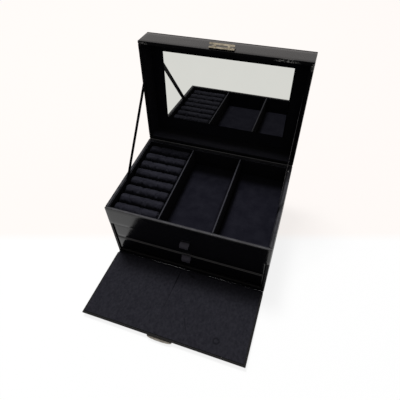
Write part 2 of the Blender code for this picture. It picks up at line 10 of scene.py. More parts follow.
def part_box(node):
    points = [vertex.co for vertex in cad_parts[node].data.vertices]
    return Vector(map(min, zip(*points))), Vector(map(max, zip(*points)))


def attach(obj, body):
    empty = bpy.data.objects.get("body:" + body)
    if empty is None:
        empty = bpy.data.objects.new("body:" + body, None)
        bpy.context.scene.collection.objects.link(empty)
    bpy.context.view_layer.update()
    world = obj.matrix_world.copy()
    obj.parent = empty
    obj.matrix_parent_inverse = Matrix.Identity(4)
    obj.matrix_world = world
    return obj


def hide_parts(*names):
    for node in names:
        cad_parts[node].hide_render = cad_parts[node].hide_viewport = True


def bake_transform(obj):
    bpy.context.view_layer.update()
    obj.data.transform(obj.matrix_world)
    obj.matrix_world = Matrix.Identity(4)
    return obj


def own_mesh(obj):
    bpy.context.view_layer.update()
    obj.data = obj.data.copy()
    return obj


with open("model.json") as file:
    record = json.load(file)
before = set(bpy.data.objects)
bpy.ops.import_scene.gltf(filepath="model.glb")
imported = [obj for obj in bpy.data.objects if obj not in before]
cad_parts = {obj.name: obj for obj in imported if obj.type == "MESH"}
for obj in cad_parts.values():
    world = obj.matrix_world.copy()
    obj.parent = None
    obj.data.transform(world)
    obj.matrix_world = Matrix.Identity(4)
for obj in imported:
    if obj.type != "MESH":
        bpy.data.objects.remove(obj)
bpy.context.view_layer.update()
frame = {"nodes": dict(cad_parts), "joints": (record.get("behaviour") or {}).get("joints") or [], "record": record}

MM = 0.001
# Along the box's width
ACROSS = Vector((1, 0, 0))
nodes = frame["nodes"]
joints = {joint["name"]: joint for joint in frame["joints"]}

# Camera, as the photograph's corners place it, in the frame's metres and a 400-pixel picture
PICTURE = 400
FOCAL_PIXELS = 363.0
CENTRE_PIXEL = (195.2, 193.2)
EYE = Vector((0.13052, -0.35850, 0.52388))
LOOK = Vector((-0.24684, 0.62259, -0.74260))
LOOK_RIGHT = Vector((0.94441, 0.32628, -0.04038))
SENSOR = 36
CLIP_NEAR = 10 * MM
CLIP_FAR = 20

# Colours are linear
BLACK = (0.0, 0.0, 0.0)
WHITE = (1.0, 1.0, 1.0)
WARM_WHITE = (1.0, 0.956, 0.930)

# Light: one soft lamp high behind the left of the box, and an even studio round it
LAMP_PLACE = Vector((-0.72, 0.76, 3.50))
LAMP_TARGET = Vector((0.0, 0.0, 0.08))
LAMP_SIZE = 0.95
LAMP_POWER = 116.0
# How strongly the studio lights the box, and how bright it is to the camera and in a gloss
WORLD_LIGHT = 0.22
WORLD_SEEN = 1.0
# The floor's half length, what it throws back at the box, and its own glow and share of lit white
FLOOR_HALF = 5.0
FLOOR_BOUNCE = 0.30
FLOOR_GLOW = 0.86
FLOOR_SHADE = 0.14
# The backdrop is a little warmer than the floor; where one turns into the other, from the box's middle
SWEEP_NORMAL = (-0.29927, 0.95417, 0.0)
SWEEP_WHITE = -0.022
SWEEP_WARM = -0.004

# In what follows a noise is a scale, a detail and a roughness, and a bump is a depth and a strength.
# A scale of three numbers draws the noise out along an axis. Most of its values lie between these:
NOISE_MIDDLE = (0.3, 0.7)

# Leatherette: the black of its film and of its grain's crests, and the grey of its rubbed specks
LEATHER_DARK = (0.0008, 0.0008, 0.0011)
LEATHER_LIGHT = (0.0024, 0.0024, 0.0031)
SPECK_GREY = (0.16, 0.155, 0.15)
LEATHER_GRAIN = (900, 3.0, 0.6)
LEATHER_WAVE = (45, 1.5, 0.5)
LEATHER_SMEARS = ((14, 38, 30), 4.0, 0.65)
LEATHER_SPECKS = (620, 1.0, 0.5)
SPECKS_SHOW = (0.77, 0.84)
SPECKS_MOST = 0.6
WAVE_BUMP = (0.5 * MM, 0.08)
GRAIN_BUMP = (0.05 * MM, 0.22)
# Each finish: its gloss, its roughness between smears, and if it is scraped where the lid's scrapes are
LEATHERETTES = {
    "patent_leatherette": (0.38, (0.11, 0.20), False),
    "leatherette_satin": (0.22, (0.20, 0.30), True),
    "leatherette_side": (0.118, (0.38, 0.48), False),
    "leatherette_rim": (0.02, (0.40, 0.50), True),
}

# The level faces of the base's upper rim carry a painted grey reflection: the heights that it lies between,
# how level it has to be, how patchy it is, and how it fades from the middle of the box to the back
RIM_PAINTED_SHINE = (0.046, 0.046, 0.052)
RIM_LOW = 0.1145
RIM_HIGH = 0.1168
RIM_BLUR = 0.4 * MM
RIM_LEVEL = (0.55, 0.95)
RIM_NOISE = (70, 3.0, 0.6)
RIM_PATCHES = (0.30, 0.62)
RIM_LEAST = 0.45
RIM_DEPTHS = (0.04, 0.08)
RIM_BACK = 0.25

# Scrapes on the lid's rim: the middle of each and its half lengths, in the open box's metres
SCUFF_GREY = (0.42, 0.41, 0.39)
SCUFFS = (
    ((0.0900, 0.0972, 0.2828), (0.0210, 0.0042, 0.0036)),
    ((-0.1165, 0.0968, 0.2826), (0.0085, 0.0040, 0.0032)),
    ((0.1235, 0.0955, 0.2790), (0.0030, 0.0040, 0.0070)),
)
SCUFF_NOISE = ((420, 1500, 900), 3.0, 0.7)
SCUFF_TORN = (0.50, 0.57)
SCUFF_CORE = 0.5

# Velvet: the detail and roughness of its nap, its fibres, lint, sheen and the upward share at which its painted
# highlight on tops is full
VELVET_NAP = (3.0, 0.6)
VELVET_FIBRE = (1900, 2.0, 0.7)
VELVET_TONES = (0.72, 1.28)
VELVET_BUMP = (0.12 * MM, 0.45)
VELVET_TINT = (0.60, 0.62, 0.80, 1)
VELVET_CREST = 0.96
LINT_GREY = (0.060, 0.060, 0.070)
LINT_NOISE = (330, 2.0, 0.6)
LINT_SHOWS = (0.74, 0.80)
LINT_MOST = 0.5

# Where shade is painted dark on the velvet: the core of a mark, the radius of a ring in it and how narrow
# the ring is. Each mark is a middle, a turn, half lengths, a share and if it is a ring.
PAINTED_SHADE_BLACK = (0.0008, 0.0008, 0.0012)
PAINTED_SHADE_MOST = 0.9
MARK_CORE = 0.25
RING_RADIUS = 0.7
RING_NARROW = 3.4
# Painted shade in the flap lining's creases, in a short streak near the hinge and in a ring round its dent
FLAP_PAINTED_SHADE = (
    ((-0.0094, -0.108, 0.006), math.radians(-2.1), (0.0012, 0.026, 0.02), 0.90, False),
    ((-0.0108, -0.142, 0.007), math.radians(-2.1), (0.0010, 0.030, 0.02), 0.40, False),
    ((0.0287, -0.1725, 0.009), math.radians(25.8), (0.0010, 0.0165, 0.02), 0.50, False),
    ((0.0120, -0.0935, 0.005), math.radians(72), (0.0030, 0.009, 0.02), 0.55, False),
    ((0.0778, -0.1807, 0.010), 0.0, (0.0058, 0.0058, 0.02), 0.45, True),
)
# Painted shadow on the tray's floors at the back and beside the dividers, and on the rolls at the back
TRAY_PAINTED_SHADOW = (
    ((0.0, 0.0800, 0.085), 0.0, (0.400, 0.0290, 0.03), 1.7, False),
    ((-0.0455, 0.0100, 0.085), 0.0, (0.0130, 0.120, 0.03), 1.2, False),
    ((0.0400, 0.0100, 0.085), 0.0, (0.0110, 0.120, 0.03), 1.2, False),
)
ROLL_PAINTED_SHADOW = (((-0.0850, 0.0850, 0.100), 0.0, (0.200, 0.0330, 0.05), 0.9, False),)
# Painted shade on the lid's hinge-side lining, so that it is pale only along the fold
STRIP_PAINTED_SHADE = (((0.0, 0.1200, 0.118), 0.0, (0.700, 0.0270, 0.02), 1.8, False),)

# Each velvet, in the terms of make_velvet. They are one velvet toned for the light where each lies:
# darker on the walls, the lid's linings and the rolls as painted shade, lighter on the flap and the lid's hinge
# strip as painted light
VELVETS = {
    "velvet": {"dark": (0.0054, 0.0054, 0.0090), "light": (0.0112, 0.0112, 0.0164), "sheen": 0.02},
    "velvet_wall": {
        "dark": (0.0010, 0.0010, 0.0016),
        "light": (0.0030, 0.0030, 0.0046),
        # painted highlight: paler on the tops of the walls and dividers
        "painted_lit_tops": ((0.034, 0.034, 0.041), (0.046, 0.046, 0.055)),
    },
    "velvet_flap": {
        "dark": (0.0105, 0.0104, 0.0142),
        "light": (0.0262, 0.0258, 0.0325),
        "sheen": 0.02,
        "streaks": (330, 220, 60),
        "painted_shade_marks": FLAP_PAINTED_SHADE,
    },
    "velvet_lid": {"dark": (0.0012, 0.0012, 0.0020), "light": (0.0034, 0.0034, 0.0052)},
    "velvet_strip": {
        "dark": (0.0105, 0.0105, 0.0145),
        "light": (0.0230, 0.0230, 0.0300),
        "streaks": (30, 200, 60),
        "painted_shade_marks": STRIP_PAINTED_SHADE,
    },
    "velvet_roll": {
        "dark": (0.0008, 0.0008, 0.0012),
        "light": (0.0040, 0.0040, 0.0058),
        "sheen": 0.01,
        "streaks": (40, 260, 260),
        # painted highlight on the crests of the rolls
        "painted_lit_tops": ((0.0095, 0.0095, 0.0140), (0.0250, 0.0250, 0.0330)),
        "steep": 0.60,
        "painted_shade_marks": ROLL_PAINTED_SHADOW,
    },
    "velvet_tray": {
        "dark": (0.0056, 0.0056, 0.0094),
        "light": (0.0132, 0.0132, 0.0190),
        "painted_shade_marks": TRAY_PAINTED_SHADOW,
    },
}

# Ribbons: the two tones of each one's weave, its gloss and its sheen
WEAVE_SCALE = 900
WEAVE_BEND = 0.4
WEAVE_BUMP = (0.05 * MM, 0.20)
RIBBONS = {
    "ribbon": ((0.002, 0.002, 0.003), (0.006, 0.006, 0.009), 0.02, 0.0),
    "pull_ribbon": ((0.024, 0.022, 0.030), (0.060, 0.056, 0.070), 0.12, 0.03),
}

# Greyboard: the two tones of its fibres
GREYBOARD_DARK = (0.0050, 0.0049, 0.0048)
GREYBOARD_LIGHT = (0.0115, 0.0112, 0.0108)
GREYBOARD_FIBRE = ((300, 900, 500), 4.0, 0.7)
GREYBOARD_BUMP = (0.1 * MM, 0.3)

# Brass: each plating as it is when clean and worn, with a darker copy as painted shade, and the clasp leaf's
# recess behind the hasp painted dark as shade, from how far inside its plate's face the dark is full to where it
# ends
CHAMPAGNE = ((0.42, 0.375, 0.29), (0.20, 0.178, 0.130))
CHAMPAGNE_SHADED = ((0.30, 0.285, 0.25), (0.14, 0.132, 0.118))
BRUSHED = ((60, 2600, 2600), 2.0, 0.6)
BRUSHED_SHOWS = (0.2, 0.8)
BRUSHED_ROUGHNESS = (0.22, 0.38)
BRUSHED_BUMP = (0.02 * MM, 0.25)
TARNISH = (180, 3.0, 0.6)
TARNISH_SHOWS = (0.35, 0.7)
RECESS_SHADE_BROWN = (0.009, 0.007, 0.005)
RECESS_FULL = 0.15 * MM
RECESS_ENDS = 0.45 * MM
LEAF_PLATE = 0.8 * MM

# The mirror: the two tones of its silver, and its haze
MIRROR_DIM = (0.655, 0.66, 0.62)
MIRROR_BRIGHT = (0.685, 0.685, 0.645)
MIRROR_NOISE = (30, 3.0, 0.6)
MIRROR_HAZE = (0.3, 0.8)
MIRROR_ROUGH = 0.012

# Nodes of the frame that don't take their slot's own look
OWN_LOOKS = {
    "side_wall_left": "leatherette_side",
    "side_wall_right": "leatherette_side",
    "clasp_leaf": "champagne_brass_leaf",
}

# Bodies whose pieces are built as they lie shut and then opened, and the joints that open them
HINGES = {"lid": "lid_hinge", "flap": "flap_hinge"}

# Boards: each piece, the node that it stands for, its body and its look
WRAPPED = (
    ("cover_panel", "cover_board", "base", "leatherette_rim"),
    ("rail_wrapped", "front_rail", "base", "patent_leatherette"),
    ("back_panel", "back_wall", "base", "patent_leatherette"),
    ("shelf_wrapped", "drawer_shelf", "base", "patent_leatherette"),
    ("upper_drawer_face", "upper_drawer_front", "upper_drawer", "patent_leatherette"),
    ("lower_drawer_face", "lower_drawer_front", "lower_drawer", "patent_leatherette"),
    ("lid_top_panel", "lid_board", "lid", "leatherette_satin"),
    ("lid_wall_front", "lid_front_wall", "lid", "leatherette_satin"),
    ("lid_wall_back", "lid_back_wall", "lid", "leatherette_satin"),
    ("lid_wall_left", "lid_side_wall_left", "lid", "leatherette_satin"),
    ("lid_wall_right", "lid_side_wall_right", "lid", "leatherette_satin"),
)
COVERED = (
    ("tray_velvet_front", "tray_lining_front", "base", "velvet_wall"),
    ("tray_velvet_back", "tray_lining_back", "base", "velvet_wall"),
    ("tray_velvet_left", "tray_lining_left", "base", "velvet_wall"),
    ("tray_velvet_right", "tray_lining_right", "base", "velvet_wall"),
    ("divider_covered_left", "divider_left", "base", "velvet_wall"),
    ("divider_covered_right", "divider_right", "base", "velvet_wall"),
    ("roll_bed", "ring_bed", "base", "velvet"),
    ("lid_velvet_top", "lid_lining_board", "lid", "velvet_lid"),
    ("lid_velvet_front", "lid_lining_front", "lid", "velvet_lid"),
    ("lid_velvet_back", "lid_lining_back", "lid", "velvet_strip"),
    ("lid_velvet_left", "lid_lining_left", "lid", "velvet_lid"),
    ("lid_velvet_right", "lid_lining_right", "lid", "velvet_lid"),
)
PADS = (
    ("tray_pad_middle", "floor_pad_middle", "base", "velvet_tray"),
    ("tray_pad_right", "floor_pad_right", "base", "velvet_tray"),
    ("drawer_liner_upper", "upper_drawer_pad", "upper_drawer", "velvet"),
    ("drawer_liner_lower", "lower_drawer_pad", "lower_drawer", "velvet"),
)
# How round a board's edges are, how far apart its grid lines, how deep and fine its unevenness, and how
# far a normal has to turn out for its face to be a pad's or a lining's visible one
BOARD_EDGE = 0.9 * MM
EDGE_SHARES = (0, 0.25, 0.55)
EDGE_MOST = 0.48
WRAP_STEP = 6.0 * MM
WRAP_UNEVEN = (0.10 * MM, 22)
COVER_STEP = 4.0 * MM
COVER_UNEVEN = (0.14 * MM, 60)
COVER_SEED = 20
FACE_OUT = 0.5
FLAP_SEED = 31
SEED_STEPS = (7.31, 3.17, 5.77)
# Boards whose rim is turned in and left duller, which way it faces while the box is shut, and how far a
# face of it has to turn that way
RIM_FACING = {
    "lid_wall_front": -1, "lid_wall_back": -1, "lid_wall_left": -1, "lid_wall_right": -1, "back_panel": 1,
}
RIM_SLANT = 0.35

# Pads: their edge's roll-off, their hollow and the ripple that begins away from the edge
PAD_ROUND = 0.8 * MM
PAD_STEP = 2.5 * MM
PAD_EDGE = 1.2 * MM
PAD_HOLLOW = 0.35 * MM
PAD_RIPPLE = 0.15 * MM
PAD_RIPPLE_SCALE = 45
PAD_CALM = 8 * MM

# The flap's lining, and how far its velvet runs on past its card towards the hinge
FLAP_VELVET_REACH = 2.4 * MM
FLAP_VELVET_EDGE = 0.35 * MM
FLAP_VELVET_STEP = 1.25 * MM
FLAP_UNEVEN = 0.10 * MM
FLAP_UNEVEN_SCALES = (70, 25)
FLAP_UNEVEN_SEED = 3.3
FLAP_SUNK_MOST = 0.45 * MM
# Its creases: x and z of the middle, half length, half width, depth and lean
CREASES = (
    (-0.0099, 0.030, 0.029, 1.3 * MM, 0.34 * MM, -0.037),
    (0.0287, 0.0856, 0.0145, 1.3 * MM, 0.26 * MM, 0.485),
)
# Its round dent: x and z of the middle, radius, half width and depth
DENT = (0.0778, 0.0938, 4.2 * MM, 1.3 * MM, 0.26 * MM)

# Strips: how thin they are at their edges, how fine their ripple is and the angle of a sharp edge
BAND_EDGE = 0.35
BAND_RIPPLE_SCALE = 90
BAND_SHARP = 70
# Each strip's thickness, how many faces wide it is, and its ripple
FLAP_FOLD_STRIP = (0.24 * MM, 120, 0.02 * MM)
LID_FOLD_STRIP = (0.5 * MM, 100, 0.03 * MM)
STAY_STRIP = (0.45 * MM, 8, 0.07 * MM)
PULL_STRIP = (0.5 * MM, 14, 0.25 * MM)
# The flap's fold: how far it runs on over the flap and the base, its height and its steps
FLAP_FOLD_AHEAD = 1.2 * MM
FLAP_FOLD_BEHIND = 0.55 * MM
FLAP_FOLD_HEIGHT = 0.15 * MM
FLAP_FOLD_STEPS = 10
# The lid's fold: where its path has points, as shares of each leg and as lengths from the hinge
LID_FOLD_SHARES = (1.0, 0.75, 0.5)
LID_FOLD_NEAR = (2.4 * MM, 1.2 * MM)
LID_FOLD_BEND = 0.35 * MM
LID_FOLD_STEPS = 6
FOLD_INSET = 1 * MM

# The ribbon stays: their share of the node's width, and their steps
STAY_FILL = 0.995
STAY_STEPS = 60

# A pull's loop seen from the side, in millimetres: how far off the drawer's face, and how far below its top
PULL_PROFILE = (
    (0.35, 0.3), (2.0, 0.5), (4.3, 1.6), (6.1, 4.0), (6.7, 7.4), (6.1, 10.8), (4.3, 13.2), (2.2, 13.6),
    (0.9, 11.6), (0.5, 8.4), (0.4, 5.0), (0.4, 2.4),
)
# It is rounded towards its lowest point: over what height, and how much of its width is left there
PULL_ROUND = 6.0 * MM
PULL_TIP = 0.42
PULL_STEPS = 5
# Each drawer's pull: how far it leans sideways, and its ripple's seed
PULLS = (("upper_drawer", -0.12, 1.0), ("lower_drawer", 0.04, 2.0))

# Ring rolls: their grid, and how they close and are gathered at their ends
ROLL_COUNT = 8
ROLL_RINGS = 72
ROLL_ROUND = 48
ROLL_END = 7.0 * MM
ROLL_DOME = 0.62
ROLL_CORNER = 0.38
ROLL_SIDE_POWER = 1.12
ROLL_TOP_POWER = 1.04
ROLL_PLEATS = 9
PLEAT_DEPTH = 0.45 * MM
# Their nap and wrinkles: depth, and how fine along the roll, round it and from roll to roll
ROLL_NAP = (0.30 * MM, 90, 1.5, 3.7)
ROLL_WRINKLES = (0.34 * MM, 330, 2.6, 5.3)
# Their cover starts a little slack and swells as cloth, by no more than this
ROLL_SLACK = 0.965
ROLL_HUB = 0.08
ROLL_TUCK = 3.0 * MM
CLOTH_REACH = 0.9 * MM
CLOTH_FRAMES = 8
CLOTH_QUALITY = 6
CLOTH_MASS = 0.05
CLOTH_PRESSURE = 400.0
CLOTH_STIFFNESS = 2.0
CLOTH_BENDING = 0.05
CLOTH_GROWTH = 0.05

# The clasp's lower half: how often it is cut, how far its middle stays flat, how much its ends thin out,
# and the height above which the shut catch is rounded
CLASP_CUTS = 12
CLASP_CUT_SPAN = 0.001 * MM
CLASP_SHARP = 30
CASE_FLAT = 6.0 * MM
CASE_THIN = 0.80
CATCH_FLAT = 8.5 * MM
CATCH_FOOT = 115.7 * MM
CATCH_LEAST = 0.04
CATCH_ROUND = 0.96


def add_node(tree, kind, inputs=None, **settings):
    """Adds a shader node; an input is a value or another node's output."""
    made = tree.nodes.new(kind)
    for key, value in settings.items():
        setattr(made, key, value)
    for key, value in (inputs or {}).items():
        if isinstance(value, bpy.types.NodeSocket):
            tree.links.new(value, made.inputs[key])
        else:
            made.inputs[key].default_value = value
    return made


def empty_material(name):
    """A material with no nodes yet, and its node tree."""
    material = bpy.data.materials.new(name)
    material.use_nodes = True
    material.node_tree.nodes.clear()
    return material, material.node_tree


def object_place(tree):
    """The surface point in the object's own metres."""
    return add_node(tree, "ShaderNodeTexCoord").outputs["Object"]


def noise_value(tree, place, scale, detail, roughness):
    """Noise from 0 to 1, drawn out where the scale has three numbers."""
    if isinstance(scale, tuple):
        place = add_node(tree, "ShaderNodeMapping", {"Vector": place, "Scale": scale}).outputs["Vector"]
        scale = 1
    inputs = {"Vector": place, "Scale": scale, "Detail": detail, "Roughness": roughness}
    return add_node(tree, "ShaderNodeTexNoise", inputs).outputs["Fac"]


def ranged(tree, value, low, high, to_low=0.0, to_high=1.0):
    """A value moved from one range to another and held there."""
    inputs = {"Value": value, "From Min": low, "From Max": high, "To Min": to_low, "To Max": to_high}
    return add_node(tree, "ShaderNodeMapRange", inputs).outputs["Result"]


def calculated(tree, operation, first, second=0.0):
    """One sum, product or other step on one or two values."""
    return add_node(tree, "ShaderNodeMath", {0: first, 1: second}, operation=operation).outputs["Value"]


def separated(tree, vector):
    """A vector's X, Y and Z."""
    return add_node(tree, "ShaderNodeSeparateXYZ", {0: vector}).outputs


def facing_up(tree, low, high):
    """From 0 to 1 as the surface's normal turns up, between two heights of it."""
    normal = add_node(tree, "ShaderNodeNewGeometry").outputs["Normal"]
    return ranged(tree, separated(tree, normal)["Z"], low, high)


def reach_along(tree, place, direction):
    """How far the surface point lies along a direction."""
    inputs = {0: place, 1: direction}
    return add_node(tree, "ShaderNodeVectorMath", inputs, operation="DOT_PRODUCT").outputs["Value"]


def mark_distance(tree, place, middle, half, turn=0.0):
    """How far the surface point is from a mark's middle, as a share of the mark's half lengths."""
    inputs = {"Vector": place, "Location": middle, "Rotation": (0.0, 0.0, turn), "Scale": half}
    local = add_node(tree, "ShaderNodeMapping", inputs, vector_type="TEXTURE").outputs["Vector"]
    return add_node(tree, "ShaderNodeVectorMath", {0: local}, operation="LENGTH").outputs["Value"]


def mixed_colour(tree, factor, first, second):
    """A blend of two colours."""
    mix = add_node(tree, "ShaderNodeMix", data_type="RGBA")
    for identifier, value in (("Factor_Float", factor), ("A_Color", first), ("B_Color", second)):
        socket = next(item for item in mix.inputs if item.identifier == identifier)
        if isinstance(value, bpy.types.NodeSocket):
            tree.links.new(value, socket)
        elif isinstance(value, tuple):
            socket.default_value = (*value, 1)
        else:
            socket.default_value = value
    return next(item for item in mix.outputs if item.identifier == "Result_Color")


def bumped(tree, height, distance, strength, normal=None):
    """A normal bent by a height."""
    inputs = {"Height": height, "Distance": distance, "Strength": strength}
    if normal is not None:
        inputs["Normal"] = normal
    return add_node(tree, "ShaderNodeBump", inputs).outputs["Normal"]


def surface(tree, inputs):
    """Ends a material in a Principled surface."""
    shader = add_node(tree, "ShaderNodeBsdfPrincipled", inputs)
    add_node(tree, "ShaderNodeOutputMaterial", {"Surface": shader.outputs["BSDF"]})


def rim_shine_mask(tree, place):
    """1 on the level faces of the base's upper rim, where a grey reflection is painted, and patchy."""
    axes = separated(tree, place)
    shares = (
        ranged(tree, axes["Z"], RIM_LOW, RIM_LOW + RIM_BLUR),
        ranged(tree, axes["Z"], RIM_HIGH, RIM_HIGH + RIM_BLUR, 1.0, 0.0),
        ranged(tree, noise_value(tree, place, *RIM_NOISE), *RIM_PATCHES, RIM_LEAST, 1.0),
        ranged(tree, axes["Y"], *RIM_DEPTHS, 1.0, RIM_BACK),
    )
    mask = facing_up(tree, *RIM_LEVEL)
    for share in shares:
        mask = calculated(tree, "MULTIPLY", mask, share)
    return mask


def scuff_mask(tree, place):
    """Scrapes through the gloss in a few places along the lid's rim."""
    torn = ranged(tree, noise_value(tree, place, *SCUFF_NOISE), *SCUFF_TORN)
    total = 0.0
    for middle, half in SCUFFS:
        near = ranged(tree, mark_distance(tree, place, middle, half), SCUFF_CORE, 1.0, 1.0, 0.0)
        total = calculated(tree, "MAXIMUM", near, total)
    return calculated(tree, "MULTIPLY", total, torn)


def make_leatherette(name, gloss, rough, scuffed):
    """Black patent leatherette: a gloss over a fine pressed grain, handling smears and rubbed specks."""
    material, tree = empty_material(name)
    place = object_place(tree)
    grain = noise_value(tree, place, *LEATHER_GRAIN)
    smears = noise_value(tree, place, *LEATHER_SMEARS)
    specks = ranged(tree, noise_value(tree, place, *LEATHER_SPECKS), *SPECKS_SHOW, 0.0, SPECKS_MOST)
    colour = mixed_colour(tree, grain, LEATHER_DARK, LEATHER_LIGHT)
    # Painted reflection: grey on the level faces of the base's upper rim
    colour = mixed_colour(tree, rim_shine_mask(tree, place), colour, RIM_PAINTED_SHINE)
    colour = mixed_colour(tree, specks, colour, SPECK_GREY)
    if scuffed:
        colour = mixed_colour(tree, scuff_mask(tree, place), colour, SCUFF_GREY)
    normal = bumped(tree, noise_value(tree, place, *LEATHER_WAVE), *WAVE_BUMP)
    surface(tree, {
        "Base Color": colour,
        "Roughness": ranged(tree, smears, *NOISE_MIDDLE, *rough),
        "Specular IOR Level": gloss,
        "Normal": bumped(tree, grain, *GRAIN_BUMP, normal),
    })
    return material


def make_velvet(name, dark, light, sheen=0.0, streaks=(60, 60, 60), painted_lit_tops=None, steep=0.45, painted_shade_marks=()):
    """Short-pile velvet: mottled nap, a soft sheen and a fibrous surface.

    Its pair of paler colours is a painted highlight on faces that look up by more than steep; its marks are
    painted shade.
    """
    material, tree = empty_material(name)
    place = object_place(tree)
    nap = noise_value(tree, place, streaks, *VELVET_NAP)
    fibre = noise_value(tree, place, *VELVET_FIBRE)
    tone = ranged(tree, calculated(tree, "ADD", nap, fibre), *VELVET_TONES)
    colour = mixed_colour(tree, tone, dark, light)
    # Painted highlight: a paler colour on faces that look up
    if painted_lit_tops is not None:
        crest = mixed_colour(tree, tone, *painted_lit_tops)
        colour = mixed_colour(tree, facing_up(tree, steep, VELVET_CREST), colour, crest)
    # Painted shade: marks where the velvet is drawn dark
    for middle, turn, half, share, is_ring in painted_shade_marks:
        distance = mark_distance(tree, place, middle, half, turn)
        if is_ring:
            distance = calculated(tree, "ABSOLUTE", calculated(tree, "SUBTRACT", distance, RING_RADIUS))
            distance = calculated(tree, "MULTIPLY", distance, RING_NARROW)
        near = ranged(tree, distance, MARK_CORE, 1.0, share, 0.0)
        colour = mixed_colour(tree, calculated(tree, "MINIMUM", near, PAINTED_SHADE_MOST), colour, PAINTED_SHADE_BLACK)
    lint = ranged(tree, noise_value(tree, place, *LINT_NOISE), *LINT_SHOWS, 0.0, LINT_MOST)
    surface(tree, {
        "Base Color": mixed_colour(tree, lint, colour, LINT_GREY),
        "Roughness": 0.95,
        "Specular IOR Level": 0.06,
        "Sheen Weight": sheen,
        "Sheen Roughness": 0.40,
        "Sheen Tint": VELVET_TINT,
        "Normal": bumped(tree, fibre, *VELVET_BUMP),
    })
    return material


def make_ribbon(name, dark, light, gloss, sheen):
    """Satin ribbon: a fine cross weave with a soft sheen."""
    material, tree = empty_material(name)
    inputs = {"Vector": object_place(tree), "Scale": WEAVE_SCALE, "Distortion": WEAVE_BEND}
    weave = add_node(tree, "ShaderNodeTexWave", inputs, bands_direction="DIAGONAL").outputs["Fac"]
    surface(tree, {
        "Base Color": mixed_colour(tree, weave, dark, light),
        "Roughness": 0.5,
        "Specular IOR Level": gloss,
        "Sheen Weight": sheen,
        "Sheen Roughness": 0.3,
        "Normal": bumped(tree, weave, *WEAVE_BUMP),
    })
    return material


def make_greyboard():
    """Dark pressed board with short fibres."""
    material, tree = empty_material("greyboard")
    fibre = noise_value(tree, object_place(tree), *GREYBOARD_FIBRE)
    surface(tree, {
        "Base Color": mixed_colour(tree, fibre, GREYBOARD_DARK, GREYBOARD_LIGHT),
        "Roughness": 0.85,
        "Specular IOR Level": 0.05,
        "Normal": bumped(tree, fibre, *GREYBOARD_BUMP),
    })
    return material


def make_brass(name, clean, worn, recess=None):
    """Pale champagne plating, brushed along its length, duller where it is handled and with painted shade in its
    recess.
    """
    material, tree = empty_material(name)
    place = object_place(tree)
    brushed = noise_value(tree, place, *BRUSHED)
    tarnish = noise_value(tree, place, *TARNISH)
    colour = mixed_colour(tree, ranged(tree, tarnish, *TARNISH_SHOWS), clean, worn)
    # Painted shade: dark brown in the leaf's recess behind the hasp
    if recess is not None:
        outward, level = recess
        reach = reach_along(tree, place, outward)
        sunk = ranged(tree, reach, level + RECESS_FULL, level + RECESS_ENDS, 1.0, 0.0)
        colour = mixed_colour(tree, sunk, colour, RECESS_SHADE_BROWN)
    surface(tree, {
        "Base Color": colour,
        "Metallic": 1.0,
        "Roughness": ranged(tree, brushed, *BRUSHED_SHOWS, *BRUSHED_ROUGHNESS),
        "Normal": bumped(tree, brushed, *BRUSHED_BUMP),
    })
    return material


def leaf_recess():
    """Which way the clasp's leaf faces, and how far out its plate reaches under the hasp."""
    turn = opening_turn("lid")
    outward = turn.to_3x3() @ Vector((0, -1, 0))
    high = closed_box("clasp_leaf", turn)[1]
    return outward, (turn @ Vector((0, high.y - LEAF_PLATE, high.z))).dot(outward)


def make_mirror():
    """Silvered glass with the faintest haze."""
    material, tree = empty_material("mirror_glass")
    haze = noise_value(tree, object_place(tree), *MIRROR_NOISE)
    surface(tree, {
        "Base Color": mixed_colour(tree, haze, MIRROR_DIM, MIRROR_BRIGHT),
        "Metallic": 1.0,
        "Roughness": ranged(tree, haze, *MIRROR_HAZE, 0.0, MIRROR_ROUGH),
    })
    return material


def make_looks():
    """Every material of the box, by name."""
    looks = {name: make_leatherette(name, *look) for name, look in LEATHERETTES.items()}
    looks.update((name, make_velvet(name, **look)) for name, look in VELVETS.items())
    looks.update((name, make_ribbon(name, *look)) for name, look in RIBBONS.items())
    looks["greyboard"] = make_greyboard()
    looks["champagne_brass"] = make_brass("champagne_brass", *CHAMPAGNE)
    looks["champagne_brass_shaded"] = make_brass("champagne_brass_shaded", *CHAMPAGNE_SHADED)
    looks["champagne_brass_leaf"] = make_brass("champagne_brass_leaf", *CHAMPAGNE, leaf_recess())
    looks["mirror_glass"] = make_mirror()
    return looks


def dress_nodes(looks):
    """Gives each node of the frame its own look, or that of its material slot."""
    slots = {item["node"]: item["material_slot"] for item in frame["record"]["subparts"]}
    for name, node in nodes.items():
        node.data.materials.clear()
        node.data.materials.append(looks[OWN_LOOKS.get(name, slots[name])])


def add_object(name, data):
    """Puts a mesh, lamp or camera into the scene."""
    made = bpy.data.objects.new(name, data)
    bpy.context.scene.collection.objects.link(made)
    return made


def seen_directly(tree):
    """1 for what is seen itself, in a gloss or through glass, and 0 for light thrown on matt surfaces."""
    path = add_node(tree, "ShaderNodeLightPath").outputs
    either = calculated(tree, "MAXIMUM", path["Is Camera Ray"], path["Is Glossy Ray"])
    return calculated(tree, "MAXIMUM", either, path["Is Transmission Ray"])


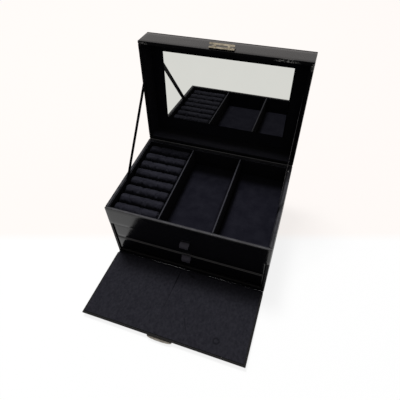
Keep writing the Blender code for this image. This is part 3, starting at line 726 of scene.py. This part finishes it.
def make_floor_look():
    """A white floor that turns into a warmer backdrop, and keeps a faint shadow of the box."""
    material, tree = empty_material("studio_floor")
    reach = reach_along(tree, object_place(tree), SWEEP_NORMAL)
    tint = mixed_colour(tree, ranged(tree, reach, SWEEP_WHITE, SWEEP_WARM), WHITE, WARM_WHITE)
    shade = mixed_colour(tree, FLOOR_SHADE, BLACK, tint)
    lit = add_node(tree, "ShaderNodeBsdfDiffuse", {"Color": shade})
    glow = add_node(tree, "ShaderNodeEmission", {"Color": tint, "Strength": FLOOR_GLOW})
    both = add_node(tree, "ShaderNodeAddShader", {0: lit.outputs[0], 1: glow.outputs[0]})
    bounce = add_node(tree, "ShaderNodeBsdfDiffuse", {"Color": (FLOOR_BOUNCE,) * 3 + (1,)})
    inputs = {0: seen_directly(tree), 1: bounce.outputs[0], 2: both.outputs[0]}
    mix = add_node(tree, "ShaderNodeMixShader", inputs)
    add_node(tree, "ShaderNodeOutputMaterial", {"Surface": mix.outputs[0]})
    return material


def make_floor():
    """The studio's floor."""
    builder = bmesh.new()
    bmesh.ops.create_grid(builder, x_segments=1, y_segments=1, size=FLOOR_HALF)
    mesh = bpy.data.meshes.new("floor")
    builder.to_mesh(mesh)
    builder.free()
    mesh.materials.append(make_floor_look())
    add_object("floor", mesh)


def make_lamp():
    """The soft lamp."""
    data = bpy.data.lights.new("lamp", "AREA")
    data.shape = "SQUARE"
    data.size = LAMP_SIZE
    data.energy = LAMP_POWER
    lamp = add_object("lamp", data)
    lamp.location = LAMP_PLACE
    lamp.visible_glossy = False
    lamp.rotation_euler = (LAMP_TARGET - LAMP_PLACE).to_track_quat("-Z", "Y").to_euler()


def make_world():
    """The studio: white to the eye, and dimmer as a light."""
    world = bpy.data.worlds.new("studio")
    bpy.context.scene.world = world
    world.use_nodes = True
    tree = world.node_tree
    tree.nodes.clear()
    dim = add_node(tree, "ShaderNodeBackground", {"Color": (*WHITE, 1), "Strength": WORLD_LIGHT})
    bright = add_node(tree, "ShaderNodeBackground", {"Color": (*WARM_WHITE, 1), "Strength": WORLD_SEEN})
    inputs = {0: seen_directly(tree), 1: dim.outputs[0], 2: bright.outputs[0]}
    mix = add_node(tree, "ShaderNodeMixShader", inputs)
    add_node(tree, "ShaderNodeOutputWorld", {"Surface": mix.outputs[0]})
    bpy.context.scene.view_settings.view_transform = "Standard"


def make_camera():
    """The photograph's camera."""
    data = bpy.data.cameras.new("camera")
    data.sensor_width = SENSOR
    data.lens = SENSOR * FOCAL_PIXELS / PICTURE
    data.shift_x = (PICTURE / 2 - CENTRE_PIXEL[0]) / PICTURE
    data.shift_y = (CENTRE_PIXEL[1] - PICTURE / 2) / PICTURE
    data.clip_start = CLIP_NEAR
    data.clip_end = CLIP_FAR
    camera = add_object("camera", data)
    back = -LOOK.normalized()
    right = LOOK_RIGHT.normalized()
    turn = Matrix((right, back.cross(right), back)).transposed()
    camera.matrix_world = Matrix.Translation(EYE) @ turn.to_4x4()
    bpy.context.scene.camera = camera


def opening_turn(body):
    """The turn that takes a body's shut pieces to where the frame shows them, from its joint's own range."""
    if body not in HINGES:
        return Matrix.Identity(4)
    joint = joints[HINGES[body]]
    pivot = Vector(joint["pos_m"])
    angle = math.radians(-joint["range_deg"][0])
    turn = Matrix.Rotation(angle, 4, Vector(joint["axis"]))
    return Matrix.Translation(pivot) @ turn @ Matrix.Translation(-pivot)


def closed_box(node_name, turn):
    """Lowest and highest corners of a node as it lies when its joint is shut."""
    back = turn.inverted()
    points = [back @ vertex.co for vertex in nodes[node_name].data.vertices]
    low = Vector(min(point[axis] for point in points) for axis in range(3))
    high = Vector(max(point[axis] for point in points) for axis in range(3))
    return low, high


def finish_piece(name, mesh, material, sharp=None):
    """Shows a mesh with its material, smooth but for edges sharper than an angle in degrees."""
    mesh.materials.append(material)
    mesh.shade_smooth()
    if sharp is not None:
        mesh.set_sharp_from_angle(angle=math.radians(sharp))
    return add_object(name, mesh)


def add_piece(name, points, faces, material, sharp=None):
    """A piece from points and faces, whose normals all point outward."""
    mesh = bpy.data.meshes.new(name)
    mesh.from_pydata([tuple(point) for point in points], [], faces)
    mesh.update()
    builder = bmesh.new()
    builder.from_mesh(mesh)
    bmesh.ops.recalc_face_normals(builder, faces=builder.faces)
    builder.to_mesh(mesh)
    builder.free()
    return finish_piece(name, mesh, material, sharp)


def stand_in(piece, node_name, body):
    """Shows a piece in place of a node, on one body."""
    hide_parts(node_name)
    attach(piece, body)


def ring_faces(rings, round_count):
    """Quads between rings of points, and a cap on each end."""
    faces = []
    for ring in range(rings - 1):
        for side in range(round_count):
            after = (side + 1) % round_count
            first = ring * round_count
            second = first + round_count
            faces.append((first + side, second + side, second + after, first + after))
    faces.append(tuple(range(round_count)))
    faces.append(tuple(range((rings - 1) * round_count, rings * round_count))[::-1])
    return faces


def marks(low, high, radius, step):
    """Grid lines along one side of a board: close together over its rounded edges, then even."""
    flat = high - low - 2 * radius
    count = max(1, round(flat / step))
    return [
        *(low + radius * share for share in EDGE_SHARES),
        *(low + radius + flat * item / count for item in range(count + 1)),
        *(high - radius * share for share in EDGE_SHARES[::-1]),
    ]


def board_shell(low, high, radius, step, depth):
    """Points and faces of a board with rounded edges; depth(point, normal) presses its surface in."""
    axes = [marks(low[axis], high[axis], radius, step) for axis in range(3)]
    last = [len(axis) - 1 for axis in axes]
    inner_low = low + Vector((radius,) * 3)
    inner_high = high - Vector((radius,) * 3)
    points = []
    index = {}

    def corner(key):
        """The number of one grid point, made on first use."""
        if key not in index:
            point = Vector(axes[axis][key[axis]] for axis in range(3))
            core = Vector(min(max(point[axis], inner_low[axis]), inner_high[axis]) for axis in range(3))
            normal = (point - core).normalized()
            point = core + normal * radius
            index[key] = len(points)
            points.append(point - normal * depth(point, normal))
        return index[key]

    faces = []
    for axis in range(3):
        first, second = [item for item in range(3) if item != axis]
        for end in (0, last[axis]):
            for a in range(last[first]):
                for b in range(last[second]):
                    face = []
                    for step_a, step_b in ((0, 0), (1, 0), (1, 1), (0, 1)):
                        key = [0, 0, 0]
                        key[axis], key[first], key[second] = end, a + step_a, b + step_b
                        face.append(corner(tuple(key)))
                    faces.append(tuple(face))
    return points, faces


def uneven(amount, scale, seed):
    """How far a covering sinks between its high spots."""
    offset = Vector(seed * step for step in SEED_STEPS)

    def depth(point, _normal):
        return amount * (0.5 + 0.5 * noise.noise(point * scale + offset))

    return depth


def make_board(name, node_name, body, material, radius, step, depth, grow=(0, 0, 0)):
    """A board with a soft covering in place of a node, built as it lies shut and then opened.

    depth presses its surface in, and grow moves its lowest corner.
    """
    turn = opening_turn(body)
    low, high = closed_box(node_name, turn)
    low = low + Vector(grow)
    radius = min(radius, EDGE_MOST * min(high - low))
    points, faces = board_shell(low, high, radius, step, depth)
    piece = add_piece(name, [turn @ point for point in points], faces, material)
    stand_in(piece, node_name, body)
    return piece


def make_wrapped(name, node_name, body, material, seed):
    """A board wrapped in leatherette."""
    depth = uneven(*WRAP_UNEVEN, seed)
    return make_board(name, node_name, body, material, BOARD_EDGE, WRAP_STEP, depth)


def make_boards(looks):
    """The wrapped boards and the velvet-covered linings of the base, the drawers and the lid."""
    for seed, (name, node_name, body, look) in enumerate(WRAPPED):
        piece = make_wrapped(name, node_name, body, looks[look], seed)
        if name in RIM_FACING:
            piece.data.materials.append(looks["leatherette_rim"])
            facing = opening_turn(body).to_3x3() @ Vector((0, 0, RIM_FACING[name]))
            for face in piece.data.polygons:
                if face.normal.dot(facing) > RIM_SLANT:
                    face.material_index = 1
    for seed, (name, node_name, body, look) in enumerate(COVERED, COVER_SEED):
        depth = uneven(*COVER_UNEVEN, seed)
        make_board(name, node_name, body, looks[look], BOARD_EDGE, COVER_STEP, depth)


def make_pad(name, node_name, body, velvet, seed):
    """A thin velvet-covered pad: rounded at its edges, and softly dished and uneven in the middle."""
    low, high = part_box(node_name)

    def depth(point, normal):
        """How far the pad is pressed in at one point."""
        if normal.z < FACE_OUT:
            return 0.0
        share_x = (point.x - low.x) / (high.x - low.x)
        share_y = (point.y - low.y) / (high.y - low.y)
        edge = min(point.x - low.x, high.x - point.x, point.y - low.y, high.y - point.y)
        drop = PAD_EDGE * 0.5 * max(0.0, 1 - edge / PAD_EDGE) ** 2
        dish = PAD_HOLLOW * math.sin(math.pi * share_x) * math.sin(math.pi * share_y)
        spot = Vector((point.x * PAD_RIPPLE_SCALE, point.y * PAD_RIPPLE_SCALE, seed))
        return drop + dish + PAD_RIPPLE * (1 + noise.noise(spot)) * min(1, edge / PAD_CALM)

    piece = make_board(name, node_name, body, velvet, PAD_ROUND, PAD_STEP, depth)


def flap_depth(point, normal):
    """How the flap's lining is creased, dented and uneven."""
    scale_x, scale_z = FLAP_UNEVEN_SCALES
    spot = Vector((point.x * scale_x, point.z * scale_z, FLAP_UNEVEN_SEED))
    sunk = FLAP_UNEVEN * (0.5 + 0.5 * noise.noise(spot))
    if normal.y < FACE_OUT:
        return sunk
    for x, z, half_long, half_wide, deep, lean in CREASES:
        aside = (point.x - x - lean * (point.z - z)) / half_wide
        ahead = (point.z - z) / half_long
        sunk += deep * math.exp(-aside * aside) * max(0.0, 1 - ahead * ahead)
    x, z, radius, half_wide, deep = DENT
    from_ring = (math.hypot(point.x - x, point.z - z) - radius) / half_wide
    sunk += deep * math.exp(-from_ring * from_ring)
    return min(sunk, FLAP_SUNK_MOST)


def band(name, centres, across, widths, strip, material, seed=0.0):
    """A thin strip along a path, across the given direction, with rounded edges and a slight ripple.

    widths has one width for each centre, and strip the thickness, the faces across and the ripple.
    """
    thickness, columns, wave = strip
    points = []
    count = len(centres)
    for station, centre in enumerate(centres):
        ahead = centres[min(station + 1, count - 1)] - centres[max(station - 1, 0)]
        normal = ahead.cross(across).normalized()
        width = widths[station]
        for side in (1, -1):
            for column in range(columns + 1):
                share = column / columns if side == 1 else 1 - column / columns
                spot = centre + across * width * (share - 0.5)
                edge = min(share, 1 - share) * width
                full = min(1.0, BAND_EDGE + edge / thickness)
                ripple = wave * noise.noise(spot * BAND_RIPPLE_SCALE + Vector((seed, 0, 0)))
                points.append(spot + normal * (ripple + side * thickness * 0.5 * full))
    return add_piece(name, points, ring_faces(count, 2 * (columns + 1)), material, BAND_SHARP)


def smooth_path(corners, steps):
    """Points on a smooth curve through the given ones."""
    path = []
    count = len(corners)
    for item in range(count - 1):
        before, start = corners[max(item - 1, 0)], corners[item]
        end, after = corners[item + 1], corners[min(item + 2, count - 1)]
        for step in range(steps):
            t = step / steps
            bend = (2 * before - 5 * start + 4 * end - after) * t * t
            twist = (3 * start - before - 3 * end + after) * t * t * t
            path.append((2 * start + (end - before) * t + bend + twist) / 2)
    path.append(corners[-1])
    return path


def make_flap(looks):
    """The front flap's wrapped board and its lining, and the velvet fold that it turns on."""
    make_wrapped("flap_panel", "flap_board", "flap", looks["leatherette_satin"], FLAP_SEED)
    velvet = looks["velvet_flap"]
    make_board(
        "flap_velvet", "flap_lining", "flap", velvet, FLAP_VELVET_EDGE, FLAP_VELVET_STEP, flap_depth,
        grow=(0, 0, -FLAP_VELVET_REACH),
    )
    low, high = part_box("flap_hinge_skin")
    start = low.y - FLAP_FOLD_AHEAD
    end = high.y + FLAP_FOLD_BEHIND
    path = [
        Vector((0, start + (end - start) * item / FLAP_FOLD_STEPS, FLAP_FOLD_HEIGHT))
        for item in range(FLAP_FOLD_STEPS + 1)
    ]
    widths = [high.x - low.x - FOLD_INSET] * len(path)
    fold = band("flap_fold", path, ACROSS, widths, FLAP_FOLD_STRIP, velvet)
    stand_in(fold, "flap_hinge_skin", "base")


def thin_case(point, high):
    """The case, domed along its length."""
    beyond = max(0.0, abs(point.x) - CASE_FLAT) / (high.x - CASE_FLAT)
    point.y = high.y - (high.y - point.y) * (1 - CASE_THIN * beyond ** 1.5)


def round_catch(point, high):
    """The catch plate, whose top falls away towards its ends."""
    beyond = min(1.0, max(0.0, abs(point.x) - CATCH_FLAT) / (high.x - CATCH_FLAT))
    if point.z > CATCH_FOOT:
        left = CATCH_LEAST + CATCH_ROUND * math.sqrt(1 - beyond ** 2)
        point.z = CATCH_FOOT + (point.z - CATCH_FOOT) * left


def make_shaped(name, node_name, brass, shape):
    """A part of the clasp's lower half, cut across its length and shaped, from the frame's own mesh."""
    turn = opening_turn("flap")
    high = closed_box(node_name, turn)[1]
    builder = bmesh.new()
    builder.from_mesh(nodes[node_name].data)
    bmesh.ops.transform(builder, matrix=turn.inverted(), verts=builder.verts)
    for item in range(-CLASP_CUTS, CLASP_CUTS + 1):
        parts = builder.verts[:] + builder.edges[:] + builder.faces[:]
        place = Vector((high.x * item / (CLASP_CUTS + 1), 0, 0))
        bmesh.ops.bisect_plane(builder, geom=parts, dist=CLASP_CUT_SPAN, plane_co=place, plane_no=ACROSS)
    for vertex in builder.verts:
        shape(vertex.co, high)
    bmesh.ops.transform(builder, matrix=turn, verts=builder.verts)
    mesh = bpy.data.meshes.new(name)
    builder.to_mesh(mesh)
    builder.free()
    stand_in(finish_piece(name, mesh, brass, CLASP_SHARP), node_name, "flap")


def make_lid_fold(leatherette):
    """The wrapping that runs from the base's back over the hinge onto the lid's back wall."""
    pivot = Vector(joints["lid_hinge"]["pos_m"])
    turn = opening_turn("lid")
    low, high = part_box("lid_hinge_skin")
    leg = pivot.z - low.z
    reaches = [leg * share for share in LID_FOLD_SHARES] + list(LID_FOLD_NEAR)
    down = [Vector((0, pivot.y, pivot.z - reach)) for reach in reaches]
    out = [turn @ Vector((0, pivot.y, pivot.z + reach)) for reach in reaches[::-1]]
    bend = Vector((0, pivot.y + LID_FOLD_BEND, pivot.z - LID_FOLD_BEND))
    path = smooth_path(down + [bend] + out, LID_FOLD_STEPS)
    widths = [high.x - low.x - FOLD_INSET] * len(path)
    fold = band("lid_fold", path, ACROSS, widths, LID_FOLD_STRIP, leatherette)
    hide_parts("lid_hinge_skin")
    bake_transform(fold)


def make_stay(side, seed, ribbon):
    """A flat ribbon from the tray's wall to the lid's, taut while the lid is open."""
    node_name = f"ribbon_stay_{side}"
    points = [vertex.co.copy() for vertex in nodes[node_name].data.vertices]
    middle = sum(points, Vector()) / len(points)
    points.sort(key=lambda point: point.z)
    half = len(points) // 2
    start = sum(points[:half], Vector()) / half
    end = sum(points[half:], Vector()) / half
    start.x = end.x = middle.x
    width = max(Vector((0, *(point - start).yz)).length for point in points[:half]) * 2 * STAY_FILL
    ahead = (end - start).normalized()
    across = Vector((0, -ahead.z, ahead.y))
    path = [start.lerp(end, item / STAY_STEPS) for item in range(STAY_STEPS + 1)]
    stay = band(f"ribbon_{side}", path, across, [width] * len(path), STAY_STRIP, ribbon, seed)
    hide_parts(node_name)
    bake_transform(stay)


def crumple(x, turn, number):
    """How far a roll's nap and wrinkles stand out at one point."""
    total = 0.0
    for depth, fine_along, fine_round, apart in (ROLL_NAP, ROLL_WRINKLES):
        spot = Vector((x * fine_along, turn * fine_round, number * apart))
        total += depth * (noise.noise(spot) - 0.5)
    return total


def make_roll(number, velvet):
    """One ring roll: a velvet cover pulled round foam, gathered and tucked in at both ends."""
    low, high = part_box(f"ring_roll_{number}")
    centre = (low + high) / 2
    half = (high - low) / 2
    points = []
    for ring in range(ROLL_RINGS):
        along = math.cos(math.pi * (1 - ring / (ROLL_RINGS - 1)))
        x = centre.x + half.x * along
        end = max(0.0, 1 - half.x * (1 - abs(along)) / ROLL_END)
        full = math.sqrt(max(0.0, 1 - end * end)) * ROLL_DOME + ROLL_CORNER * (1 - end ** 6)
        for side in range(ROLL_ROUND):
            turn = 2 * math.pi * side / ROLL_ROUND
            across = math.cos(turn)
            up = math.sin(turn)
            y = half.y * ROLL_SLACK * math.copysign(abs(across) ** ROLL_SIDE_POWER, across)
            z = half.z * ROLL_SLACK * math.copysign(abs(up) ** ROLL_TOP_POWER, up)
            pleat = PLEAT_DEPTH * end * (1 - end ** 4) * math.sin(ROLL_PLEATS * turn + number)
            share = full + (pleat + crumple(x, turn, number) * max(0, up)) / half.z
            share = min(max(share, ROLL_HUB), 1.0)
            points.append((x, centre.y + y * share, centre.z + z * share))
    return add_piece(f"ring_cushion_{number}", points, ring_faces(ROLL_RINGS, ROLL_ROUND), velvet)


def start_cloth(roll):
    """Lets a roll's cover swell as cloth, held under the roll and in the tucks at its ends."""
    held = roll.vertex_groups.new(name="held")
    inner = max(vertex.co.x for vertex in roll.data.vertices) - ROLL_TUCK
    outer = min(vertex.co.x for vertex in roll.data.vertices) + ROLL_TUCK
    for index, vertex in enumerate(roll.data.vertices):
        below = ROLL_ROUND // 2 <= index % ROLL_ROUND
        if below or not outer < vertex.co.x < inner:
            held.add([index], 1.0, "REPLACE")
    settings = roll.modifiers.new("cover", "CLOTH").settings
    settings.quality = CLOTH_QUALITY
    settings.mass = CLOTH_MASS
    settings.tension_stiffness = CLOTH_STIFFNESS
    settings.compression_stiffness = CLOTH_STIFFNESS
    settings.shear_stiffness = CLOTH_STIFFNESS / 3
    settings.bending_stiffness = CLOTH_BENDING
    settings.use_pressure = True
    settings.uniform_pressure_force = CLOTH_PRESSURE
    settings.shrink_min = -CLOTH_GROWTH
    settings.effector_weights.gravity = 0
    settings.vertex_group_mass = "held"


def settle_cloth(rolls):
    """Runs the covers' cloth together and keeps its result in the meshes, within each roll's own box."""
    scene = bpy.context.scene
    for frame_number in range(1, CLOTH_FRAMES + 1):
        scene.frame_set(frame_number)
    graph = bpy.context.evaluated_depsgraph_get()
    for number, roll in enumerate(rolls, 1):
        low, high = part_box(f"ring_roll_{number}")
        swollen = roll.evaluated_get(graph)
        moves = [new.co - old.co for new, old in zip(swollen.to_mesh().vertices, roll.data.vertices)]
        swollen.to_mesh_clear()
        roll.modifiers.clear()
        roll.vertex_groups.clear()
        for vertex, move in zip(roll.data.vertices, moves):
            if move.length > CLOTH_REACH:
                move.length = CLOTH_REACH
            spot = vertex.co + move
            vertex.co = [min(max(spot[axis], low[axis]), high[axis]) for axis in range(3)]
        roll.data.update()
    scene.frame_set(1)


def make_rolls(velvet):
    """The eight ring rolls."""
    rolls = [make_roll(number, velvet) for number in range(1, ROLL_COUNT + 1)]
    for roll in rolls:
        start_cloth(roll)
    settle_cloth(rolls)
    for number, roll in enumerate(rolls, 1):
        stand_in(roll, f"ring_roll_{number}", "base")


def make_pull(drawer, lean, seed, ribbon):
    """A drawer's ribbon pull: one ribbon folded back on itself, so that a loop stands off the face."""
    node_name = f"{drawer}_pull"
    low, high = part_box(node_name)
    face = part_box(f"{drawer}_front")[0].y
    corners = [Vector((0, face - off * MM, high.z - below * MM)) for off, below in PULL_PROFILE]
    path = smooth_path(corners, PULL_STEPS)
    for spot in path:
        spot.x = lean * (high.z - spot.z)
    width = high.x - low.x
    lowest = min(spot.z for spot in path)
    widths = []
    for spot in path:
        rise = min(1.0, (spot.z - lowest) / PULL_ROUND)
        widths.append(width * (PULL_TIP + (1 - PULL_TIP) * math.sqrt(max(0.0, 1 - (1 - rise) ** 2))))
    pull = band(f"{drawer}_loop", path, ACROSS, widths, PULL_STRIP, ribbon, seed)
    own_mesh(pull)
    stand_in(pull, node_name, drawer)


def main():
    """Dresses the frame."""
    looks = make_looks()
    dress_nodes(looks)
    make_floor()
    make_lamp()
    make_world()
    make_camera()
    make_boards(looks)
    make_flap(looks)
    # The clasp's lower half in the darker brass copy, as painted shade
    make_shaped("clasp_case_domed", "clasp_case", looks["champagne_brass_shaded"], thin_case)
    make_shaped("clasp_catch_rounded", "clasp_catch", looks["champagne_brass_shaded"], round_catch)
    make_lid_fold(looks["patent_leatherette"])
    make_stay("left", 0.0, looks["ribbon"])
    make_stay("right", 1.0, looks["ribbon"])
    make_rolls(looks["velvet_roll"])
    for seed, (name, node_name, body, look) in enumerate(PADS, 1):
        make_pad(name, node_name, body, looks[look], seed)
    for drawer, lean, seed in PULLS:
        make_pull(drawer, lean, seed, looks["pull_ribbon"])


main()
bpy.context.view_layer.update()
